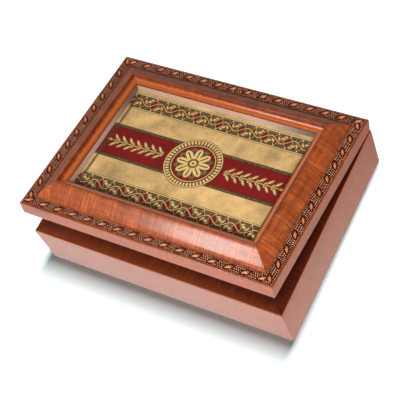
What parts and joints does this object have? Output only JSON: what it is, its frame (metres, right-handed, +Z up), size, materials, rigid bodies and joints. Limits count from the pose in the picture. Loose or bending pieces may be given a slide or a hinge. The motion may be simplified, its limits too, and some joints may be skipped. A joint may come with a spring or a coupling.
{
  "type": "keepsake box",
  "caption": "Wooden keepsake box whose hinged lid is a picture frame: ornamented moulding round a glazed print, velvet-lined case, lid standing ajar.",
  "frame": {"origin": "centre of the underside, on the table", "axes": "+X to the right along the long side, +Y to the hinged back, +Z up"},
  "size_m": [0.2032, 0.1581, 0.082],
  "materials": {
    "cherry_wood": "red-brown cherry stain under satin lacquer, fine streaks across the rails",
    "pressed_ornament": "pressed leaf and bead strip, copper-brown on the high parts and dark glaze in the hollows",
    "board": "plain hardboard",
    "felt": "black-brown wool felt",
    "velvet": "dark red cotton velvet on card",
    "glass": "clear picture glass",
    "printed_card": "matte printed card in parchment, crimson and bronze",
    "brass": "rolled brass, lightly toned",
    "steel": "zinc-plated points"
  },
  "bodies": {
    "case": {"front_wall": "cherry_wood", "right_wall": "cherry_wood", "back_wall": "cherry_wood", "left_wall": "cherry_wood", "bottom_panel": "board", "underside_felt": "felt", "floor_pad": "velvet", "front_lining": "velvet", "right_lining": "velvet", "back_lining": "velvet", "left_lining": "velvet", "left_hinge_case_leaf": "brass", "right_hinge_case_leaf": "brass", "left_hinge_pin": "brass", "right_hinge_pin": "brass", "case_hinge_screws": "brass"},
    "lid": {"front_rail": "cherry_wood", "right_rail": "cherry_wood", "back_rail": "cherry_wood", "left_rail": "cherry_wood", "front_ornament": "pressed_ornament", "right_ornament": "pressed_ornament", "back_ornament": "pressed_ornament", "left_ornament": "pressed_ornament", "glass_pane": "glass", "art_print": "printed_card", "backing_board": "board", "glazing_points": "steel", "lid_liner": "velvet", "left_hinge_lid_leaf": "brass", "right_hinge_lid_leaf": "brass", "lid_hinge_screws": "brass"}
  },
  "joints": [
    {"name": "lid_hinge", "type": "hinge", "parent": "case", "child": "lid", "pos_m": [0, 0.07815, 0.04105], "axis": [-1, 0, 0], "range_deg": [-8.9, 86.1]}
  ]
}
